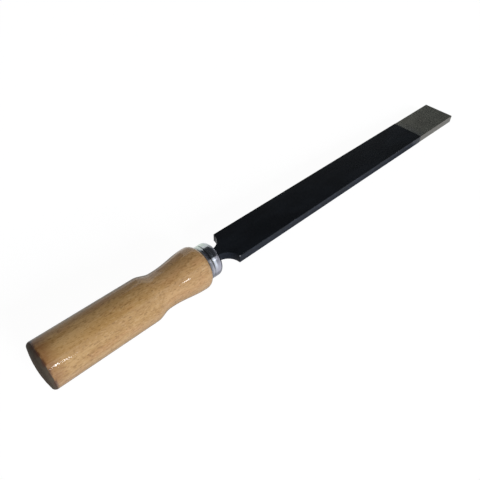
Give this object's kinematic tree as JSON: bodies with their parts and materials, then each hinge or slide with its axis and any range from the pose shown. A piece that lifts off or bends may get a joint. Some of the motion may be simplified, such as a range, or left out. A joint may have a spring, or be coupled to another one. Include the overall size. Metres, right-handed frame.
{
  "type": "flat hand scraper",
  "caption": "Flat hand scraper: a long black steel bar with a bare square-ground end, hollow shoulders and a tang held in a turned beech handle with a drawn ferrule.",
  "frame": {"origin": "middle of the cutting end, where the tool's axis leaves it", "axes": "+X out of the cutting end along the tool's axis, +Z square to the blade's flat faces, Y across the blade"},
  "size_m": [0.364, 0.028, 0.028],
  "materials": {
    "beech": "clear satin lacquer over turned beech",
    "zinc_plate": "bright zinc plate on drawn steel",
    "black_lacquered_steel": "thin satin black lacquer, ground bare at the cutting end"
  },
  "bodies": {
    "root": {"handle": "beech", "ferrule": "zinc_plate", "blade": "black_lacquered_steel"}
  },
  "joints": []
}
